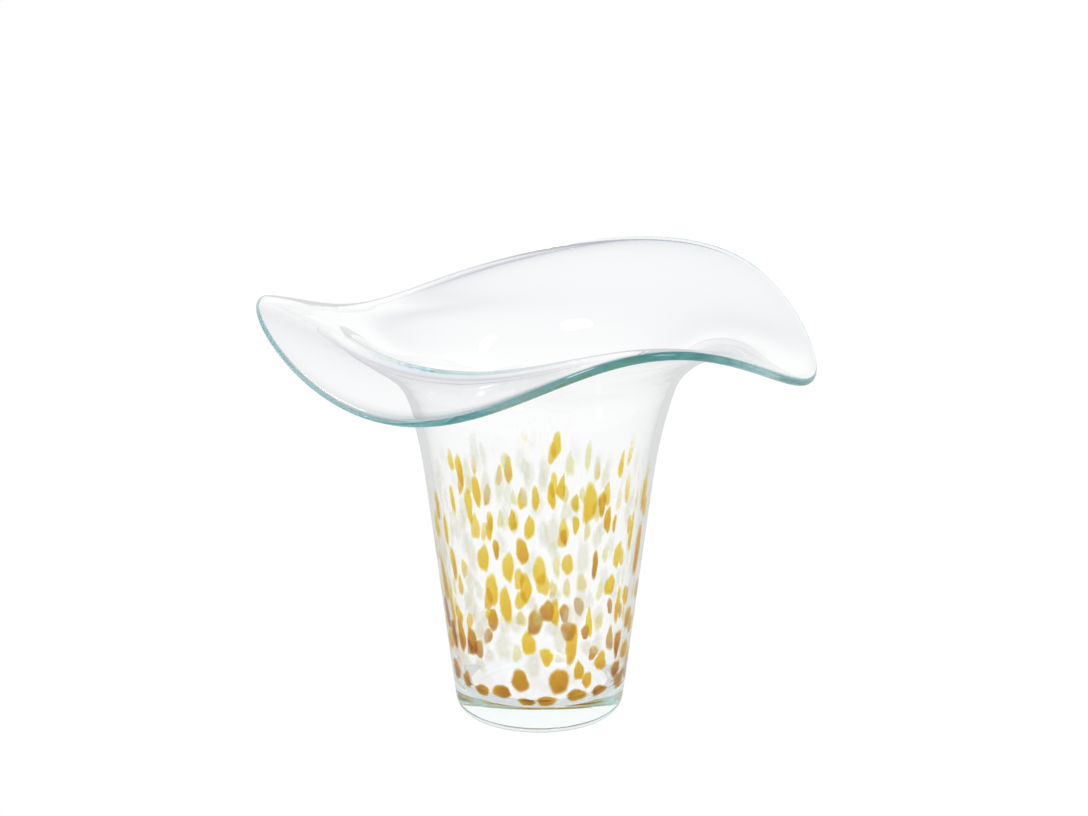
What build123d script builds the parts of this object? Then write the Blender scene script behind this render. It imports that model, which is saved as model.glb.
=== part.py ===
from build123d import *
import math
import os
import random

# Outside of the foot and wall, in millimetres, with leans in degrees out from upright
contact_radius = 33.6
heel_radius = 9.0
wall_lean = 7.05
flare_height = 124.0
flare_radius = 245.6
flare_lean = 18.1

# Throat and rolled brim
brim_start_height = 168.5
throat_radius = 29.5
throat_lean = 49.6
lip_radius = 134.7
lip_height = 199.7

# Waves of the brim: the lobes rise and reach out, and the roll stands higher towards the front
lobe_height = 13.8
lobe_reach = 5.2
lobe_start_radius = 82.0
lobe_growth = 1.3
roll_tilt = 5.8

# Each wave has a number of lobes, a share of the lobe size and the turn of its first crest
height_wave_shares = ((2, 0.35, 58), (3, 1.0, 60), (4, 0.38, 20))
reach_wave_shares = ((2, 0.63, 59), (3, 0.8, 90))

# Layers of glass
casing_thickness = 2.6
lining_thickness = 1.6
foot_thickness = 12.4
bubble_corner_radius = 13.0

# Frit chips, pressed into the outer face of the inner bubble
chip_zone_bottom = 14.0
chip_zone_height = 150.0
chip_length = 17.0
chip_width = 5.8
chip_depth = 1.1
chip_gap = 0.4
chip_slant = 5.0
chip_seed = 7

# How finely the brim is drawn, and how closely its edge meets the body
ring_points = 48
throat_rings = 3
roll_rings = 7
lip_rings = 4
seam_tolerance = 0.0001

# Chips that face the front, by tint: turn from the front in degrees, then height in the zone, length and width
front_chip_shares = {
    "gold_chips": (
        (7.5, 0.96, 0.80, 0.80), (-42.0, 0.84, 0.90, 0.75), (-38.5, 0.72, 0.95, 0.75), (-33.0, 0.78, 1.00, 0.70),
        (-2.0, 0.77, 0.75, 0.55), (6.0, 0.78, 0.80, 0.60), (11.0, 0.81, 0.70, 0.65), (26.0, 0.74, 1.10, 1.30),
        (-5.0, 0.67, 0.70, 0.80), (-14.0, 0.69, 0.65, 0.60), (-27.0, 0.65, 0.70, 0.60), (19.0, 0.67, 0.50, 0.60),
        (-32.0, 0.54, 0.85, 1.00), (-17.5, 0.52, 0.85, 1.00), (0.0, 0.51, 0.80, 1.10), (-8.0, 0.45, 0.85, 1.00),
        (-28.0, 0.43, 1.05, 1.00), (-20.0, 0.39, 1.05, 1.00), (-30.0, 0.34, 0.45, 0.85), (9.0, 0.36, 0.75, 0.80),
        (48.0, 0.53, 0.85, 0.75), (44.0, 0.43, 0.65, 1.00), (-6.5, 0.25, 0.68, 1.20), (4.5, 0.20, 0.58, 1.00),
        (68.0, 0.72, 1.10, 0.80), (48.0, 0.92, 1.20, 0.50), (43.0, 0.86, 0.85, 0.50), (-47.0, 0.87, 0.70, 0.60),
        (-50.0, 0.73, 0.75, 0.50), (18.5, 0.75, 0.55, 0.60), (31.0, 0.31, 0.85, 0.60), (-64.0, 0.33, 1.20, 0.50),
        (58.0, 0.60, 1.20, 0.55), (53.0, 0.35, 0.90, 0.60), (-60.0, 0.60, 1.00, 0.50),
    ),
    "amber_chips": (
        (33.5, 0.73, 0.70, 0.75), (38.0, 0.67, 0.75, 0.70), (-9.5, 0.58, 0.75, 1.00), (-24.0, 0.58, 0.55, 0.55),
        (13.0, 0.63, 0.50, 0.50), (-56.0, 0.49, 0.95, 0.70), (70.0, 0.51, 1.40, 0.80), (20.0, 0.24, 1.20, 1.00),
        (-72.0, 0.41, 1.30, 0.80), (43.0, 0.65, 0.50, 0.40), (43.0, 0.16, 0.55, 1.25), (26.0, 0.14, 0.65, 0.80),
        (33.0, 0.10, 0.55, 0.80),
    ),
    "brown_chips": (
        (-13.0, 0.11, 0.60, 1.40), (12.5, 0.11, 0.80, 1.40), (-26.0, 0.06, 0.35, 1.70), (26.0, 0.05, 0.35, 1.70),
        (5.0, 0.035, 0.32, 1.60), (-47.0, 0.22, 0.70, 1.10), (-57.0, 0.23, 0.80, 1.00), (-67.0, 0.22, 0.70, 0.90),
        (58.0, 0.20, 0.75, 0.80), (32.0, 0.52, 0.75, 0.50), (-76.0, 0.28, 0.80, 0.80), (-42.0, 0.05, 0.32, 1.40),
        (45.0, 0.045, 0.32, 1.40), (-9.0, 0.03, 0.26, 1.20),
    ),
    "straw_chips": (
        (-16.0, 0.90, 0.60, 0.80), (14.5, 0.89, 0.90, 0.70), (9.5, 0.53, 0.80, 0.70), (-1.5, 0.35, 0.70, 0.80),
        (-20.5, 0.69, 0.55, 0.60), (-13.0, 0.77, 0.50, 0.50), (-14.5, 0.21, 0.65, 0.80), (37.0, 0.42, 0.70, 0.60),
    ),
    "peach_chips": (
        (-11.0, 0.34, 0.55, 0.80), (15.5, 0.45, 0.60, 0.70),
    ),
    "white_chips": (
        (-31.0, 0.92, 1.10, 0.80), (-6.5, 0.87, 0.60, 0.60), (2.0, 0.87, 0.75, 0.80), (-27.0, 0.80, 1.00, 0.80),
        (-20.0, 0.81, 1.10, 0.70), (-7.5, 0.78, 0.55, 0.60), (7.0, 0.645, 1.05, 1.00), (13.0, 0.72, 0.60, 0.60),
        (34.0, 0.84, 1.00, 0.60), (-22.5, 0.23, 0.90, 1.20), (-37.0, 0.27, 1.00, 1.00), (12.0, 0.27, 0.70, 1.00),
        (-44.0, 0.36, 1.00, 0.90), (24.0, 0.39, 1.10, 1.00), (-40.0, 0.55, 1.10, 0.90), (24.0, 0.55, 1.10, 0.90),
    ),
}

# Chips scattered over the rest of the wall, by tint: how many, and between which shares of the zone's height
scatter_shares = {
    "gold_chips": (36, 0.15, 0.92),
    "amber_chips": (16, 0.10, 0.70),
    "brown_chips": (20, 0.03, 0.24),
    "straw_chips": (12, 0.25, 0.94),
    "peach_chips": (12, 0.12, 0.70),
    "white_chips": (104, 0.06, 0.92),
}

# Scattered chips are short and wide near the floor, and long and thin near the top of the zone
floor_chip_shares = (0.45, 1.1)
top_chip_shares = (0.95, 0.55)
chip_spread_share = 0.25

front_turn = 270


def inward(point, lean, distance):
    """A meridian point, moved towards the inside of the glass, square to a wall of this lean."""
    angle = math.radians(lean)
    return point[0] - distance * math.cos(angle), point[1] + distance * math.sin(angle)


# Outer skin: the heel, the straight wall, the gentle flare, the throat and the roll of the brim are tangent
wall_thickness = casing_thickness + lining_thickness
wall_foot = inward((contact_radius, heel_radius), wall_lean, -heel_radius)
wall_run = (flare_height - wall_foot[1]) * math.tan(math.radians(wall_lean))
flare_start = (wall_foot[0] + wall_run, flare_height)
flare_centre = inward(flare_start, wall_lean, -flare_radius)
throat_start = inward(flare_centre, flare_lean, flare_radius)
throat_centre = inward(throat_start, flare_lean, -throat_radius)
roll_start = inward(throat_centre, throat_lean, throat_radius)
roll_reach = lip_radius - roll_start[0]
roll_rise = lip_height - roll_start[1]
lip_lean = 2 * math.degrees(math.atan2(roll_reach, roll_rise)) - throat_lean
roll_radius = math.hypot(roll_reach, roll_rise) / (2 * math.sin(math.radians(lip_lean - throat_lean) / 2))
roll_centre = inward(roll_start, throat_lean, -roll_radius)


def flare_radius_at(height, depth):
    """Radius in the gentle flare of the skin that lies this deep under the outer one."""
    return flare_centre[0] - math.sqrt((flare_radius + depth) ** 2 - (height - flare_centre[1]) ** 2)


def corner_centre(depth, floor, corner):
    """Centre of the round corner between a floor and the wall of one skin."""
    foot = inward(wall_foot, wall_lean, depth)
    lean = math.radians(wall_lean)
    height = floor + corner
    return foot[0] + (height - foot[1]) * math.tan(lean) - corner / math.cos(lean), height


def body_skin(depth, floor, corner):
    """Meridian of one skin of the body: floor, round corner, straight wall and gentle flare."""
    centre = corner_centre(depth, floor, corner)
    floor_end = (centre[0], floor)
    corner_middle = inward(centre, (wall_lean + 90) / 2, -corner)
    corner_end = inward(centre, wall_lean, -corner)
    flare_foot = inward(flare_start, wall_lean, depth)
    middle_height = (flare_foot[1] + brim_start_height) / 2
    flare_middle = (flare_radius_at(middle_height, depth), middle_height)
    flare_end = (flare_radius_at(brim_start_height, depth), brim_start_height)
    axis_end = (0, floor)
    points = axis_end, floor_end, corner_middle, corner_end, flare_foot, flare_middle, flare_end
    axis_end, floor_end, corner_middle, corner_end, flare_foot, flare_middle, flare_end = [
        Vector(radius, 0, height) for radius, height in points
    ]
    return [
        Edge.make_line(axis_end, floor_end),
        Edge.make_three_point_arc(floor_end, corner_middle, corner_end),
        Edge.make_line(corner_end, flare_foot),
        Edge.make_three_point_arc(flare_foot, flare_middle, flare_end),
    ]


def body_layer(outer_edges, inner_edges):
    """One layer of the body, turned about the axis between two skins."""
    top = Edge.make_line(outer_edges[-1] @ 1, inner_edges[-1] @ 1)
    axis = Edge.make_line(outer_edges[0] @ 0, inner_edges[0] @ 0)
    return revolve(Face(Wire(outer_edges + inner_edges + [top, axis])), Axis.Z, 360)


def wave(shares, turn):
    return sum(share * math.cos(math.radians(lobes * (turn - crest))) for lobes, share, crest in shares)


def wavy_ring(point, mean_radius):
    """A closed ring through a meridian point, waved as the brim is at this radius of the outer skin."""
    lobe_run = max(0, mean_radius - lobe_start_radius) / (lip_radius - lobe_start_radius)
    growth = lobe_run**lobe_growth
    brim_start_radius = flare_radius_at(brim_start_height, 0)
    roll_run = max(0, mean_radius - brim_start_radius) / (lip_radius - brim_start_radius)
    tilt = roll_tilt * math.sin(math.pi * roll_run) ** 2
    points = []
    for step in range(ring_points):
        turn = 360 * step / ring_points
        radius = point[0] + lobe_reach * growth * wave(reach_wave_shares, turn)
        height = point[1] + lobe_height * growth * wave(height_wave_shares, turn)
        height += tilt * math.cos(math.radians(turn - front_turn))
        points.append(Vector(radius, 0, height).rotate(Axis.Z, turn))
    return Wire([Edge.make_spline(points, periodic=True)])


# Stations of the brim, as arc centre, arc radius and lean on the outer skin
brim_stations = [(flare_centre, flare_radius, flare_lean)]
for step in range(1, throat_rings + 1):
    turned = flare_lean + (throat_lean - flare_lean) * step / throat_rings
    brim_stations.append((throat_centre, throat_radius, turned))
for step in range(1, roll_rings + 1):
    turned = throat_lean + (lip_lean - throat_lean) * step / roll_rings
    brim_stations.append((roll_centre, roll_radius, turned))


def brim_rings(depth):
    """Rings of one skin of the brim, from its start to the lip."""
    start = (flare_radius_at(brim_start_height, depth), brim_start_height)
    rings = [wavy_ring(start, 0)]
    for centre, radius, lean in brim_stations:
        mean_radius = inward(centre, lean, radius)[0]
        rings.append(wavy_ring(inward(centre, lean, radius + depth), mean_radius))
    return rings


def lip_ring(angle):
    """Ring on the half-round lip, from -90 on the outer skin to 90 on the inner skin."""
    half = wall_thickness / 2
    middle = inward(roll_centre, lip_lean, roll_radius + half)
    edge = inward(middle, lip_lean, half * math.sin(math.radians(angle)))
    reach = half * math.cos(math.radians(angle))
    lean = math.radians(lip_lean)
    return wavy_ring((edge[0] + reach * math.sin(lean), edge[1] + reach * math.cos(lean)), lip_radius)


def lip_skin(first, last):
    return Shell.make_loft([lip_ring(first + (last - first) * step / lip_rings) for step in range(lip_rings + 1)])


def brim_layer(outer_skin, lip, inner_skin):
    """One layer of the brim, closed by a flat ring where it leaves the body."""
    feet = []
    for skin in (outer_skin, inner_skin):
        closed_edges = [edge for edge in skin.edges() if edge.is_closed]
        feet.append(Wire([min(closed_edges, key=lambda edge: edge.bounding_box().min.Z)]))
    foot = Face(feet[0], [feet[1]])
    return Solid(Shell(outer_skin.faces() + lip.faces() + inner_skin.faces() + [foot]))


def bubble_face_at(height):
    """Radius and lean of the bubble's outer face at one height."""
    centre = corner_centre(casing_thickness, foot_thickness, bubble_corner_radius)
    corner_end = inward(centre, wall_lean, -bubble_corner_radius)
    flare_foot = inward(flare_start, wall_lean, casing_thickness)
    if height < corner_end[1]:
        lean = math.asin((centre[1] - height) / bubble_corner_radius)
        return centre[0] + bubble_corner_radius * math.cos(lean), math.degrees(lean)
    if height < flare_foot[1]:
        return corner_end[0] + (height - corner_end[1]) * math.tan(math.radians(wall_lean)), wall_lean
    lean = math.asin((height - flare_centre[1]) / (flare_radius + casing_thickness))
    return flare_radius_at(height, casing_thickness), math.degrees(lean)


def is_clear(chip, others):
    """Whether a chip lies clear of the others, as ellipses on the wall."""
    turn, height, length, width = chip
    radius = bubble_face_at(height)[0]
    for other_turn, other_height, other_length, other_width in others:
        apart = (turn - other_turn + 180) % 360 - 180
        across = radius * math.radians(apart) / ((width + other_width) / 2 + chip_gap)
        along = (height - other_height) / ((length + other_length) / 2 + chip_gap)
        if across**2 + along**2 < 1:
            return False
    return True


def chip_blank(chip, slant):
    """A lens set on the bubble's outer face, half of it under that face."""
    turn, height, length, width = chip
    radius, lean = bubble_face_at(height)
    inward_radius, inward_height = inward((0, 0), lean, 1)
    seat = Plane((radius, 0, height), x_dir=(0, 1, 0), z_dir=(inward_radius, 0, inward_height))
    lens = scale(Sphere(1), by=(width / 2, length / 2, chip_depth))
    return Rot(0, 0, front_turn + turn) * seat.location * Rot(0, 0, slant) * lens


# Chips: the front ones in their places, then the scattered ones wherever there is room
dice = random.Random(chip_seed)
placed = []
chips_by_tint = {tint: [] for tint in front_chip_shares}
for tint, rows in front_chip_shares.items():
    for turn, height_share, length_share, width_share in rows:
        height = chip_zone_bottom + chip_zone_height * height_share
        chip = (turn, height, chip_length * length_share, chip_width * width_share)
        if is_clear(chip, placed):
            placed.append(chip)
            chips_by_tint[tint].append(chip)
for tint, (count, lowest, highest) in scatter_shares.items():
    wanted = len(chips_by_tint[tint]) + count
    for attempt in range(40 * count):
        height_share = dice.uniform(lowest, highest)
        spread = 1 + dice.uniform(-chip_spread_share, chip_spread_share)
        length_share, width_share = [
            spread * (low + (high - low) * height_share) for low, high in zip(floor_chip_shares, top_chip_shares)
        ]
        height = chip_zone_bottom + chip_zone_height * height_share
        chip = (dice.uniform(-180, 180), height, chip_length * length_share, chip_width * width_share)
        if len(chips_by_tint[tint]) < wanted and is_clear(chip, placed):
            placed.append(chip)
            chips_by_tint[tint].append(chip)

# Skins that the two layers share
outer_body = body_skin(0, 0, heel_radius)
middle_body = body_skin(casing_thickness, foot_thickness, bubble_corner_radius)
inner_body = body_skin(
    wall_thickness, foot_thickness + lining_thickness, bubble_corner_radius - lining_thickness
)
half_wall = wall_thickness / 2
layer_angle = math.degrees(math.asin((casing_thickness - half_wall) / half_wall))
outer_brim = Shell.make_loft(brim_rings(0))
middle_brim = Shell.make_loft(brim_rings(casing_thickness) + [lip_ring(layer_angle)])
inner_brim = Shell.make_loft(brim_rings(wall_thickness))

# Outer casing: the second gather, with the thick foot and the underside of the brim
casing_brim = brim_layer(outer_brim, lip_skin(-90, layer_angle), middle_brim)
outer_casing = body_layer(outer_body, middle_body).fuse(casing_brim, tol=seam_tolerance)

# Inner bubble: the first gather, with a pocket in its outer face for each chip
bubble_body = body_layer(middle_body, inner_body)
blanks_by_tint = {
    tint: [chip_blank(chip, dice.uniform(-chip_slant, chip_slant)) for chip in chips]
    for tint, chips in chips_by_tint.items()
}
blanks = [blank for tint_blanks in blanks_by_tint.values() for blank in tint_blanks]
bubble_brim = brim_layer(middle_brim, lip_skin(layer_angle, 90), inner_brim)
inner_bubble = (bubble_body - blanks).fuse(bubble_brim, tol=seam_tolerance)

nodes = {"outer_casing": outer_casing, "inner_bubble": inner_bubble}
for tint, tint_blanks in blanks_by_tint.items():
    nodes[tint] = Compound([(blank & bubble_body).solid() for blank in tint_blanks])

os.makedirs("parts", exist_ok=True)
for name, shape in nodes.items():
    export_step(shape, f"parts/{name}.step")
    print(name, len(shape.solids()), "solids")
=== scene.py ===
import math
import random

import bmesh
import bpy
import numpy as np
from mathutils import Matrix, Vector


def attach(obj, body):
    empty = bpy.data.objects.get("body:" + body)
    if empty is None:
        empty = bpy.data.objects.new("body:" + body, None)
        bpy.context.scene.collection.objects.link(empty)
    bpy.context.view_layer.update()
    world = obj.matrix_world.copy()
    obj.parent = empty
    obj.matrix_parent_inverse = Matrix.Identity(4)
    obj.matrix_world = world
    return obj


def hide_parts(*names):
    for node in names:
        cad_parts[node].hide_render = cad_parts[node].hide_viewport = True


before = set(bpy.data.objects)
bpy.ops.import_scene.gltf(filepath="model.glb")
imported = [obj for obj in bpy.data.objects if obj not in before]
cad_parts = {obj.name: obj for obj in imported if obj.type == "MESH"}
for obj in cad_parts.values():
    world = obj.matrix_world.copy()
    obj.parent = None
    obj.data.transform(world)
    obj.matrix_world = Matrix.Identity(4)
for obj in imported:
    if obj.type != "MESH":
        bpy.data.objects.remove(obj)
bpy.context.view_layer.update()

# Clear glass wall.
# Two gathers of clear soda glass, blown as one bubble, opened to a wide brim and waved by hand. They are fused
# on the vase, so they show as one wall from the foot to the lip. The lip's teal, most of all at the front, is
# painted shade that stands in for light led along the wall.
mm = 0.001
contact_radius = 33.6 * mm
heel_radius = 9.0 * mm
wall_lean = math.radians(7.05)
flare_height = 124.0 * mm
flare_radius = 245.6 * mm
flare_lean = math.radians(18.1)
throat_radius = 29.5 * mm
throat_lean = math.radians(49.6)
lip_radius = 134.7 * mm
lip_height = 199.7 * mm
wall_thickness = 4.2 * mm
floor_height = 14.0 * mm
floor_corner = 11.4 * mm
brim_start_height = 168.5 * mm
lobe_height = 13.8 * mm
lobe_reach = 5.2 * mm
lobe_start_radius = 82.0 * mm
lobe_growth = 1.3
roll_tilt = 5.8 * mm
front_turn = math.radians(270)
height_waves = ((2, 0.35, 58), (3, 1.0, 60), (4, 0.38, 20))
reach_waves = ((2, 0.63, 59), (3, 0.8, 90))
floor_steps, corner_steps, wall_steps, flare_steps = 3, 6, 4, 4
throat_steps, roll_steps, lip_steps = 6, 14, 14
turns_of_outline = 240
merge_gap = 0.001 * mm
# Painted shade: the lip's half-round is tinted teal, most deeply towards the front, in place of light led
# along the wall
painted_teal_band = 0.5 * mm
painted_teal_deepest_turn = math.radians(283)
painted_teal_fading = 3


def inward(point, lean, distance):
    """A point (radius, height) of the outline, moved square to a wall of this lean into the glass."""
    return point[0] - distance * math.cos(lean), point[1] + distance * math.sin(lean)


def wave(waves, turn):
    return sum(share * math.cos(lobes * (turn - math.radians(crest))) for lobes, share, crest in waves)


wall_foot = inward((contact_radius, heel_radius), wall_lean, -heel_radius)
flare_start = (wall_foot[0] + (flare_height - wall_foot[1]) * math.tan(wall_lean), flare_height)
flare_centre = inward(flare_start, wall_lean, -flare_radius)
throat_start = inward(flare_centre, flare_lean, flare_radius)
throat_centre = inward(throat_start, flare_lean, -throat_radius)
roll_start = inward(throat_centre, throat_lean, throat_radius)
roll_reach = lip_radius - roll_start[0]
roll_rise = lip_height - roll_start[1]
lip_lean = 2 * math.atan2(roll_reach, roll_rise) - throat_lean
roll_radius = math.hypot(roll_reach, roll_rise) / (2 * math.sin((lip_lean - throat_lean) / 2))
roll_centre = inward(roll_start, throat_lean, -roll_radius)
lip_middle = inward(roll_centre, lip_lean, roll_radius + wall_thickness / 2)
inner_foot = inward(wall_foot, wall_lean, wall_thickness)
corner_height = floor_height + floor_corner
corner_reach = inner_foot[0] + (corner_height - inner_foot[1]) * math.tan(wall_lean)
corner_centre = (corner_reach - floor_corner / math.cos(wall_lean), corner_height)
corner_end = inward(corner_centre, wall_lean, -floor_corner)

wall = bmesh.new()
station = wall.verts.layers.float.new("station")
lip = wall.verts.layers.float.new("lip")
pen = bmesh.ops.create_vert(wall, co=(0, 0, 0))["vert"][0]


def run(pen, end, steps):
    """Draws the outline straight on to a point (radius, height)."""
    step = (Vector((end[0], 0, end[1])) - pen.co) / steps
    drawn = bmesh.ops.spin(wall, geom=[pen], axis=(0, 1, 0), dvec=step, angle=0, steps=steps)
    return drawn["geom_last"][0]


def swing(pen, centre, turn, steps, outer_radius=None):
    """Draws the outline on round a centre, and notes the radius at which the outer skin is waved there."""
    before = len(wall.verts)
    drawn = bmesh.ops.spin(
        wall, geom=[pen], cent=(centre[0], 0, centre[1]), axis=(0, 1, 0), angle=turn, steps=steps
    )
    wall.verts.ensure_lookup_table()
    if outer_radius is not None:
        for vert in wall.verts[before:]:
            lean = math.atan2(vert.co.z - centre[1], centre[0] - vert.co.x)
            vert[station] = inward(centre, lean, outer_radius)[0]
    return drawn["geom_last"][0]


pen = run(pen, (contact_radius, 0), floor_steps)
pen = swing(pen, (contact_radius, heel_radius), wall_lean - math.pi / 2, corner_steps)
pen = run(pen, flare_start, wall_steps)
pen = swing(pen, flare_centre, flare_lean - wall_lean, flare_steps)
pen = swing(pen, throat_centre, throat_lean - flare_lean, throat_steps, throat_radius)
pen = swing(pen, roll_centre, lip_lean - throat_lean, roll_steps, roll_radius)
before_lip = len(wall.verts)
pen = swing(pen, lip_middle, -math.pi, lip_steps)
wall.verts.ensure_lookup_table()
for vert in wall.verts[before_lip:]:
    vert[station] = lip_radius
pen = swing(pen, roll_centre, throat_lean - lip_lean, roll_steps, roll_radius)
pen = swing(pen, throat_centre, flare_lean - throat_lean, throat_steps, throat_radius)
pen = swing(pen, flare_centre, wall_lean - flare_lean, flare_steps)
pen = run(pen, corner_end, wall_steps)
pen = swing(pen, corner_centre, math.pi / 2 - wall_lean, corner_steps)
pen = run(pen, (0, floor_height), floor_steps)

outline = wall.verts[:] + wall.edges[:]
bmesh.ops.spin(wall, geom=outline, axis=(0, 0, 1), angle=math.tau, steps=turns_of_outline, use_merge=True)
bmesh.ops.remove_doubles(wall, verts=wall.verts, dist=merge_gap)
bmesh.ops.recalc_face_normals(wall, faces=wall.faces)

brim_start_radius = flare_centre[0] - math.sqrt(flare_radius**2 - (brim_start_height - flare_centre[1]) ** 2)
for vert in wall.verts:
    if vert[station] > brim_start_radius:
        turn = math.atan2(vert.co.y, vert.co.x)
        lobe_run = max(0, vert[station] - lobe_start_radius) / (lip_radius - lobe_start_radius)
        growth = lobe_run**lobe_growth
        roll_run = (vert[station] - brim_start_radius) / (lip_radius - brim_start_radius)
        tilt = roll_tilt * math.sin(math.pi * roll_run) ** 2 * math.cos(turn - front_turn)
        reach = lobe_reach * growth * wave(reach_waves, turn)
        rise = lobe_height * growth * wave(height_waves, turn) + tilt
        vert.co += Vector((reach * math.cos(turn), reach * math.sin(turn), rise))
# Mask of the painted teal shade: 1 on the lip's half-round, fading away from the front
for vert in wall.verts:
    facing = max(0, math.cos(math.atan2(vert.co.y, vert.co.x) - painted_teal_deepest_turn))
    vert[lip] = facing**painted_teal_fading * max(0, 1 - (lip_radius - vert[station]) / painted_teal_band)
for face in wall.faces:
    face.smooth = True


def make_piece(name, mesh):
    """Turns a finished mesh into an object of the scene."""
    data = bpy.data.meshes.new(name)
    mesh.to_mesh(data)
    mesh.free()
    piece = bpy.data.objects.new(name, data)
    bpy.context.scene.collection.objects.link(piece)
    return piece


def colour(red, green, blue):
    """A colour read off a screen, as the linear values that shaders take."""
    screen = [level / 255 for level in (red, green, blue)]
    return tuple(v / 12.92 if v <= 0.04045 else ((v + 0.055) / 1.055) ** 2.4 for v in screen) + (1,)


def make_material(name):
    """An empty node material, with its node tree and its output."""
    material = bpy.data.materials.new(name)
    material.use_nodes = True
    material.node_tree.nodes.clear()
    return material, material.node_tree, material.node_tree.nodes.new("ShaderNodeOutputMaterial")


glass_wall = make_piece("clear_glass_wall", wall)
rounding = glass_wall.modifiers.new("rounding", "SUBSURF")
rounding.levels = 1
rounding.render_levels = 1

glass, tree, output = make_material("clear_soda_glass")
skin = tree.nodes.new("ShaderNodeBsdfPrincipled")
skin.inputs["Roughness"].default_value = 0.0
skin.inputs["IOR"].default_value = 1.5
skin.inputs["Transmission Weight"].default_value = 1.0
# The lip's Base Color carries painted teal shade through this mask, standing in for light led far along the
# wall
painted_teal_mask = tree.nodes.new("ShaderNodeAttribute")
painted_teal_mask.attribute_name = "lip"
painted_lip_teal = tree.nodes.new("ShaderNodeMix")
painted_lip_teal.data_type = "RGBA"
painted_lip_teal.inputs["A"].default_value = (1, 1, 1, 1)
painted_lip_teal.inputs["B"].default_value = (0.06, 0.24, 0.24, 1)
tree.links.new(painted_teal_mask.outputs["Fac"], painted_lip_teal.inputs["Factor"])
tree.links.new(painted_lip_teal.outputs["Result"], skin.inputs["Base Color"])
place = tree.nodes.new("ShaderNodeTexCoord")
ripple = tree.nodes.new("ShaderNodeTexNoise")
ripple.inputs["Scale"].default_value = 45
ripple.inputs["Detail"].default_value = 1
hand_work = tree.nodes.new("ShaderNodeBump")
hand_work.inputs["Strength"].default_value = 0.05
hand_work.inputs["Distance"].default_value = 1.0 * mm
tree.links.new(place.outputs["Object"], ripple.inputs["Vector"])
tree.links.new(ripple.outputs["Fac"], hand_work.inputs["Height"])
tree.links.new(hand_work.outputs["Normal"], skin.inputs["Normal"])
depth_tint = tree.nodes.new("ShaderNodeVolumeAbsorption")
depth_tint.inputs["Color"].default_value = (0.22, 0.78, 0.79, 1)
depth_tint.inputs["Density"].default_value = 1.5
tree.links.new(skin.outputs["BSDF"], output.inputs["Surface"])
tree.links.new(depth_tint.outputs["Volume"], output.inputs["Volume"])
glass_wall.data.materials.append(glass)
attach(glass_wall, "root")
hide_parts("outer_casing", "inner_bubble")

# Frit chips.
# Crushed coloured glass, picked up by the hot bubble, melted to thin drops with soft edges between the two
# gathers and drawn out along the wall. Their band reaches highest at the front of the vase.
slender = 1.5
taper_range = (-0.25, 0.45)
bend_range = (-0.2, 0.2)
ragged_shares = ((2, 0.1), (3, 0.08), (5, 0.05))
drop_turns, drop_rings = 18, 4
frit_full_height = 138 * mm
frit_end_height = 162 * mm
back_drop = 0.5
side_drop = 11
chip_seed = 11
chip_dice = random.Random(chip_seed)


def chip_seats(node):
    """For each chip of a CAD node: its middle, and its half sizes across, along and through the wall."""
    chips = bmesh.new()
    chips.from_mesh(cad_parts[node].data)
    bmesh.ops.remove_doubles(chips, verts=chips.verts, dist=merge_gap)
    seats = []
    for first in chips.verts:
        if first.tag:
            continue
        first.tag = True
        waiting, chip = [first], []
        while waiting:
            vert = waiting.pop()
            chip.append(vert.co.copy())
            for edge in vert.link_edges:
                other = edge.other_vert(vert)
                if not other.tag:
                    other.tag = True
                    waiting.append(other)
        points = np.array(chip)
        middle = (points.min(0) + points.max(0)) / 2
        axes = np.linalg.svd(points - points.mean(0), full_matrices=False)[2]
        out = Vector(axes[2])
        if out.dot(Vector((middle[0], middle[1], 0))) < 0:
            out.negate()
        along = Vector(axes[0])
        spread = np.ptp((points - middle) @ axes.T, axis=0)
        if spread[0] < slender * spread[1]:
            along = Vector((0, 0, 1)) - out * out.z
        along.normalize()
        if along.z < 0:
            along.negate()
        across = along.cross(out)
        ways = np.array([across, along, out])
        shares = (points - middle) @ ways.T
        centre = Vector(middle + (shares.min(0) + shares.max(0)) / 2 @ ways)
        halves = np.ptp(shares, axis=0) / 2
        seats.append((centre, [way * half for way, half in zip((across, along, out), halves)]))
    chips.free()
    return seats


def frit_piece(name, node, spread):
    """Soft drops of glass in the places of a node's CAD chips."""
    drops = bmesh.new()
    rim = drops.verts.layers.float.new("rim")
    rise = drops.verts.layers.float.new("rise")
    tone = drops.verts.layers.float.new("tone")
    for centre, (across, along, out) in chip_seats(node):
        ball = bmesh.ops.create_uvsphere(drops, u_segments=drop_turns, v_segments=drop_rings, radius=1)
        drop = ball["verts"]
        taper = chip_dice.uniform(*taper_range)
        bend = chip_dice.uniform(*bend_range)
        dents = [chip_dice.uniform(0, math.tau) for _ in ragged_shares]
        chip_tone = chip_dice.random()
        for vert in drop:
            vert[rim] = math.hypot(vert.co.x, vert.co.y)
            vert[rise] = vert.co.y / 2 + 0.5
            vert[tone] = chip_tone
            turn = math.atan2(vert.co.y, vert.co.x)
            waves = zip(ragged_shares, dents)
            ragged = 1 + sum(share * math.sin(lobes * turn + dent) for (lobes, share), dent in waves)
            vert.co.x = ragged * vert.co.x * (1 - taper * vert.co.y) + bend * (vert.co.y**2 - 0.5)
            vert.co.y *= ragged
        seat = Matrix((across * spread, along * spread, out)).transposed().to_4x4()
        seat.translation = centre
        bmesh.ops.transform(drops, matrix=seat, verts=drop)
    for face in drops.faces:
        face.smooth = True
    piece = make_piece(name, drops)
    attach(piece, "root")
    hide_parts(node)
    return piece


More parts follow.
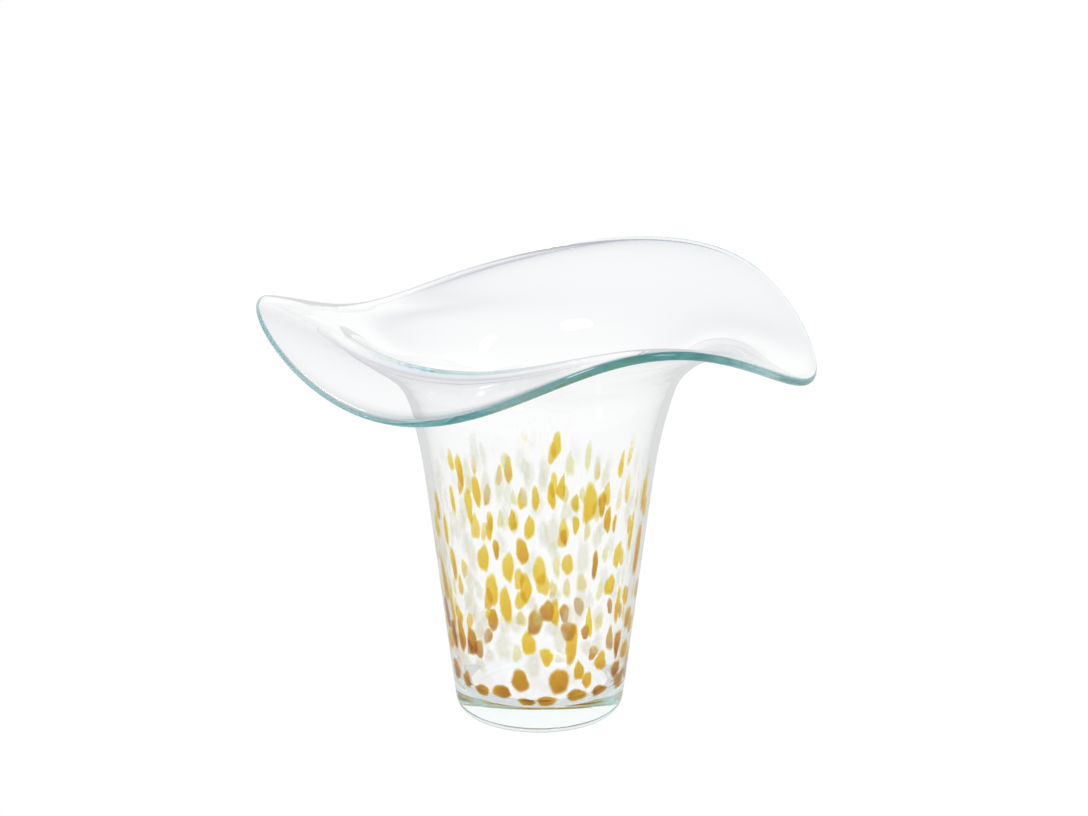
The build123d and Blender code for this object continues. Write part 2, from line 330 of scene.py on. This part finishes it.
grain = bpy.data.node_groups.new("frit_grain", "ShaderNodeTree")
for socket, side, kind in (
    ("Pale End", "INPUT", "NodeSocketColor"),
    ("Deep End", "INPUT", "NodeSocketColor"),
    ("Firm Share", "INPUT", "NodeSocketFloat"),
    ("Tint", "OUTPUT", "NodeSocketColor"),
    ("Cover", "OUTPUT", "NodeSocketFloat"),
):
    grain.interface.new_socket(socket, in_out=side, socket_type=kind)
given = grain.nodes.new("NodeGroupInput")
found = grain.nodes.new("NodeGroupOutput")
rim = grain.nodes.new("ShaderNodeAttribute")
rim.attribute_name = "rim"
rise = grain.nodes.new("ShaderNodeAttribute")
rise.attribute_name = "rise"
tone = grain.nodes.new("ShaderNodeAttribute")
tone.attribute_name = "tone"
place = grain.nodes.new("ShaderNodeTexCoord")
streak = grain.nodes.new("ShaderNodeTexNoise")
streak.inputs["Scale"].default_value = 260
streak.inputs["Detail"].default_value = 2
grain.links.new(place.outputs["Object"], streak.inputs["Vector"])
drift = grain.nodes.new("ShaderNodeMath")
drift.operation = "MULTIPLY_ADD"
drift.inputs[1].default_value = 0.9
grain.links.new(streak.outputs["Fac"], drift.inputs[0])
grain.links.new(rise.outputs["Fac"], drift.inputs[2])
shift = grain.nodes.new("ShaderNodeMath")
shift.operation = "MULTIPLY_ADD"
shift.inputs[1].default_value = 0.6
grain.links.new(tone.outputs["Fac"], shift.inputs[0])
grain.links.new(drift.outputs["Value"], shift.inputs[2])
blend = grain.nodes.new("ShaderNodeMapRange")
blend.inputs["From Min"].default_value = 0.5
blend.inputs["From Max"].default_value = 1.8
grain.links.new(shift.outputs["Value"], blend.inputs["Value"])
tint = grain.nodes.new("ShaderNodeMix")
tint.data_type = "RGBA"
grain.links.new(blend.outputs["Result"], tint.inputs["Factor"])
grain.links.new(given.outputs["Deep End"], tint.inputs["A"])
grain.links.new(given.outputs["Pale End"], tint.inputs["B"])
grain.links.new(tint.outputs["Result"], found.inputs["Tint"])
cover = grain.nodes.new("ShaderNodeMapRange")
cover.interpolation_type = "SMOOTHSTEP"
cover.inputs["From Min"].default_value = 1.0
grain.links.new(rim.outputs["Fac"], cover.inputs["Value"])
grain.links.new(given.outputs["Firm Share"], cover.inputs["From Max"])
spot = grain.nodes.new("ShaderNodeSeparateXYZ")
grain.links.new(place.outputs["Object"], spot.inputs["Vector"])
aside = grain.nodes.new("ShaderNodeMath")
aside.operation = "MULTIPLY"
grain.links.new(spot.outputs["X"], aside.inputs[0])
grain.links.new(spot.outputs["X"], aside.inputs[1])
at_sides = grain.nodes.new("ShaderNodeMath")
at_sides.operation = "MULTIPLY_ADD"
at_sides.inputs[1].default_value = side_drop
grain.links.new(aside.outputs["Value"], at_sides.inputs[0])
grain.links.new(spot.outputs["Z"], at_sides.inputs[2])
level = grain.nodes.new("ShaderNodeMath")
level.operation = "MULTIPLY_ADD"
level.inputs[1].default_value = back_drop
grain.links.new(spot.outputs["Y"], level.inputs[0])
grain.links.new(at_sides.outputs["Value"], level.inputs[2])
band = grain.nodes.new("ShaderNodeMapRange")
band.interpolation_type = "SMOOTHSTEP"
band.inputs["From Min"].default_value = frit_end_height
band.inputs["From Max"].default_value = frit_full_height
grain.links.new(level.outputs["Value"], band.inputs["Value"])
frit_cover = grain.nodes.new("ShaderNodeMath")
frit_cover.operation = "MULTIPLY"
grain.links.new(cover.outputs["Result"], frit_cover.inputs[0])
grain.links.new(band.outputs["Result"], frit_cover.inputs[1])
grain.links.new(frit_cover.outputs["Value"], found.inputs["Cover"])


# Light led far along the wall passes the chips unstained, because it leaves the lip teal
glow_share = 0.75
haze_share = 0.25
seen_depth = 4
led_depth = 9


def frit_material(name, pale, deep, firm_share):
    """Coloured glass that stains and hazes what is behind it, and thins out to nothing at its rim."""
    material, tree, output = make_material(name)
    frit = tree.nodes.new("ShaderNodeGroup")
    frit.node_tree = grain
    frit.inputs["Pale End"].default_value = pale
    frit.inputs["Deep End"].default_value = deep
    frit.inputs["Firm Share"].default_value = firm_share
    lit = tree.nodes.new("ShaderNodeBsdfDiffuse")
    tree.links.new(frit.outputs["Tint"], lit.inputs["Color"])
    glow = tree.nodes.new("ShaderNodeBsdfTranslucent")
    tree.links.new(frit.outputs["Tint"], glow.inputs["Color"])
    haze = tree.nodes.new("ShaderNodeMixShader")
    haze.inputs["Fac"].default_value = glow_share
    tree.links.new(lit.outputs["BSDF"], haze.inputs[1])
    tree.links.new(glow.outputs["BSDF"], haze.inputs[2])
    half_tint = tree.nodes.new("ShaderNodeGamma")
    half_tint.inputs["Gamma"].default_value = 0.5
    tree.links.new(frit.outputs["Tint"], half_tint.inputs["Color"])
    stain = tree.nodes.new("ShaderNodeBsdfTransparent")
    tree.links.new(half_tint.outputs["Color"], stain.inputs["Color"])
    body = tree.nodes.new("ShaderNodeMixShader")
    body.inputs["Fac"].default_value = haze_share
    tree.links.new(stain.outputs["BSDF"], body.inputs[1])
    tree.links.new(haze.outputs["Shader"], body.inputs[2])
    clear = tree.nodes.new("ShaderNodeBsdfTransparent")
    path = tree.nodes.new("ShaderNodeLightPath")
    direct = tree.nodes.new("ShaderNodeMapRange")
    direct.inputs["From Min"].default_value = led_depth
    direct.inputs["From Max"].default_value = seen_depth
    tree.links.new(path.outputs["Ray Depth"], direct.inputs["Value"])
    stained = tree.nodes.new("ShaderNodeMath")
    stained.operation = "MULTIPLY"
    tree.links.new(frit.outputs["Cover"], stained.inputs[0])
    tree.links.new(direct.outputs["Result"], stained.inputs[1])
    soft_edge = tree.nodes.new("ShaderNodeMixShader")
    tree.links.new(stained.outputs["Value"], soft_edge.inputs["Fac"])
    tree.links.new(clear.outputs["BSDF"], soft_edge.inputs[1])
    tree.links.new(body.outputs["Shader"], soft_edge.inputs[2])
    tree.links.new(soft_edge.outputs["Shader"], output.inputs["Surface"])
    return material


gold = frit_piece("gold_frit_drops", "gold_chips", 1.25)
gold.data.materials.append(frit_material("gold_frit", colour(252, 231, 104), colour(245, 204, 36), 0.65))

amber = frit_piece("amber_frit_drops", "amber_chips", 1.25)
amber.data.materials.append(frit_material("amber_frit", colour(248, 218, 84), colour(231, 177, 32), 0.65))

brown = frit_piece("brown_frit_drops", "brown_chips", 1.35)
brown.data.materials.append(frit_material("brown_frit", colour(232, 184, 48), colour(190, 124, 10), 0.65))

straw = frit_piece("straw_frit_drops", "straw_chips", 1.25)
straw.data.materials.append(frit_material("straw_frit", colour(252, 250, 226), colour(249, 242, 170), 0.45))

peach = frit_piece("peach_frit_drops", "peach_chips", 1.2)
peach.data.materials.append(frit_material("peach_frit", colour(250, 242, 200), colour(244, 226, 138), 0.5))

white = frit_piece("white_frit_drops", "white_chips", 1.5)
white.data.materials.append(frit_material("white_frit", colour(254, 253, 249), colour(252, 249, 241), 0.4))

# Studio.
# A white sheet pressed under the foot, a pale backdrop all round, a grey room above and two soft boxes.
# Light that the glass has mirrored on its way finds the sheet darker, so that the edges of the wall show.
sheet_size = 9.0
sheet_press = 0.05 * mm
sheet_glow = 0.93
mirrored_glow = 0.7
lamp_aim = Vector((0, 0, 0.15))
sheet_mesh = bmesh.new()
sheet_place = Matrix.Translation((0, 0, sheet_press))
bmesh.ops.create_grid(sheet_mesh, x_segments=1, y_segments=1, size=sheet_size, matrix=sheet_place)
sheet = make_piece("white_sheet", sheet_mesh)
paper, tree, output = make_material("white_paper")
lit = tree.nodes.new("ShaderNodeBsdfDiffuse")
lit.inputs["Color"].default_value = (0.9, 0.9, 0.9, 1)
shine = tree.nodes.new("ShaderNodeEmission")
shine.inputs["Color"].default_value = (1, 1, 1, 1)
path = tree.nodes.new("ShaderNodeLightPath")
dim = tree.nodes.new("ShaderNodeMapRange")
dim.inputs["To Min"].default_value = 1.0
dim.inputs["To Max"].default_value = mirrored_glow
tree.links.new(path.outputs["Glossy Depth"], dim.inputs["Value"])
for_haze = tree.nodes.new("ShaderNodeMath")
for_haze.operation = "MAXIMUM"
tree.links.new(dim.outputs["Result"], for_haze.inputs[0])
tree.links.new(path.outputs["Diffuse Depth"], for_haze.inputs[1])
strength = tree.nodes.new("ShaderNodeClamp")
tree.links.new(for_haze.outputs["Value"], strength.inputs["Value"])
tree.links.new(strength.outputs["Result"], shine.inputs["Strength"])
seen = tree.nodes.new("ShaderNodeMath")
seen.operation = "MAXIMUM"
tree.links.new(path.outputs["Is Camera Ray"], seen.inputs[0])
tree.links.new(path.outputs["Is Glossy Ray"], seen.inputs[1])
seen_through = tree.nodes.new("ShaderNodeMath")
seen_through.operation = "MAXIMUM"
tree.links.new(seen.outputs["Value"], seen_through.inputs[0])
tree.links.new(path.outputs["Is Transmission Ray"], seen_through.inputs[1])
share = tree.nodes.new("ShaderNodeMath")
share.operation = "MULTIPLY"
share.inputs[1].default_value = sheet_glow
tree.links.new(seen_through.outputs["Value"], share.inputs[0])
cover = tree.nodes.new("ShaderNodeMixShader")
tree.links.new(share.outputs["Value"], cover.inputs["Fac"])
tree.links.new(lit.outputs["BSDF"], cover.inputs[1])
tree.links.new(shine.outputs["Emission"], cover.inputs[2])
tree.links.new(cover.outputs["Shader"], output.inputs["Surface"])
sheet.data.materials.append(paper)

room = bpy.data.worlds.new("studio")
bpy.context.scene.world = room
room.use_nodes = True
tree = room.node_tree
tree.nodes.clear()
way = tree.nodes.new("ShaderNodeTexCoord")
parts = tree.nodes.new("ShaderNodeSeparateXYZ")
tree.links.new(way.outputs["Generated"], parts.inputs["Vector"])
low = tree.nodes.new("ShaderNodeMapRange")
low.interpolation_type = "SMOOTHSTEP"
low.inputs["From Min"].default_value = 0.5
low.inputs["From Max"].default_value = 0.15
tree.links.new(parts.outputs["Z"], low.inputs["Value"])
walls = tree.nodes.new("ShaderNodeMix")
walls.data_type = "RGBA"
walls.inputs["A"].default_value = (0.5, 0.51, 0.58, 1)
walls.inputs["B"].default_value = (1, 1, 1, 1)
tree.links.new(low.outputs["Result"], walls.inputs["Factor"])
path = tree.nodes.new("ShaderNodeLightPath")
fill = tree.nodes.new("ShaderNodeMix")
fill.data_type = "RGBA"
fill.inputs["B"].default_value = (1, 1, 1, 1)
tree.links.new(walls.outputs["Result"], fill.inputs["A"])
tree.links.new(path.outputs["Diffuse Depth"], fill.inputs["Factor"])
light = tree.nodes.new("ShaderNodeBackground")
tree.links.new(fill.outputs["Result"], light.inputs["Color"])
sky = tree.nodes.new("ShaderNodeOutputWorld")
tree.links.new(light.outputs["Background"], sky.inputs["Surface"])


def soft_box(name, place, size, power):
    """An oval lamp in a soft box, turned towards the vase."""
    lamp = bpy.data.lights.new(name, "AREA")
    lamp.shape = "ELLIPSE"
    lamp.size, lamp.size_y = size
    lamp.energy = power
    holder = bpy.data.objects.new(name, lamp)
    holder.location = place
    holder.rotation_euler = (lamp_aim - Vector(place)).to_track_quat("-Z", "Y").to_euler()
    bpy.context.scene.collection.objects.link(holder)


soft_box("soft_box_left", (-0.4, 0.0, 1.8), (0.9, 0.3), 8)
soft_box("soft_box_right", (1.2, -0.9, 1.3), (0.35, 1.1), 5)

# Camera.
# It stands a metre and a half off and looks down on the brim, as in the photo.
camera_distance = 1.5
camera_rise = math.radians(17.85)
aim_height = 0.115
view_drop = math.radians(16.25)
view_right = math.radians(0.092)
eye = bpy.data.cameras.new("photo_camera")
eye.lens = 99.26
eye.sensor_width = 36
camera = bpy.data.objects.new("photo_camera", eye)
camera.location = (
    0, -camera_distance * math.cos(camera_rise), aim_height + camera_distance * math.sin(camera_rise)
)
camera.rotation_euler = (math.pi / 2 - view_drop, 0, -view_right)
bpy.context.scene.collection.objects.link(camera)
bpy.context.scene.camera = camera
bpy.context.scene.view_settings.view_transform = "Standard"

# Glass carries light a long way along its wall, so paths are followed further than usual
longest_path = 400
paths = bpy.context.scene.cycles
paths.max_bounces = longest_path
paths.diffuse_bounces = 32
paths.glossy_bounces = longest_path
paths.transmission_bounces = longest_path
paths.transparent_max_bounces = longest_path
paths.blur_glossy = 0
